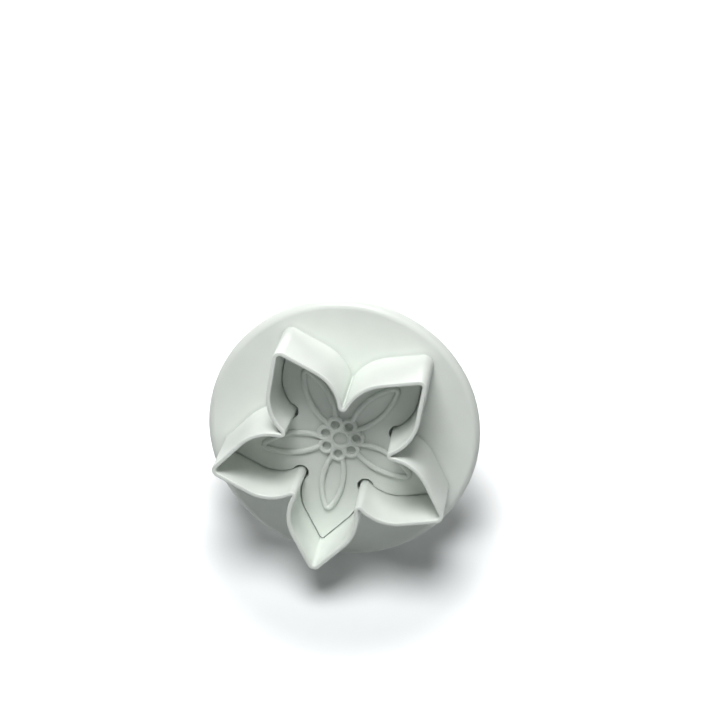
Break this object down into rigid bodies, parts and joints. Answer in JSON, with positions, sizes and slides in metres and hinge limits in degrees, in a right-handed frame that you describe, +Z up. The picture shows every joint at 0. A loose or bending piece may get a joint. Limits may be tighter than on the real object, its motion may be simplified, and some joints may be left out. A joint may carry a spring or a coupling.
{
  "type": "plunger cutter",
  "caption": "Moulded plastic flower-shaped plunger cutter: petal cutting wall under a round flange, embossing plate inside, and a sprung push knob.",
  "frame": {"origin": "on the plunger's axis, in the plane of the cutting edge", "axes": "+Z up the plunger's axis to the knob; +Y along the middle of one petal"},
  "size_m": [0.08, 0.08, 0.0781],
  "materials": {
    "body_plastic": "satin moulded white plastic with a faint green-grey cast",
    "spring_steel": "drawn spring wire",
    "screw_steel": "zinc-plated steel"
  },
  "bodies": {
    "cutter": {"cutter_body": "body_plastic", "return_spring": "spring_steel"},
    "plunger": {"emboss_plate": "body_plastic", "plunger_stem": "body_plastic", "push_knob": "body_plastic", "knob_screw": "screw_steel", "screw_washer": "screw_steel", "knob_cap": "body_plastic"}
  },
  "joints": [
    {"name": "plunger_slide", "type": "slide", "parent": "cutter", "child": "plunger", "axis": [0, 0, -1], "range_m": [0, 0.01535], "stiffness_N_per_m": 350, "springref_m": -0.005, "deforming": ["return_spring"]}
  ]
}
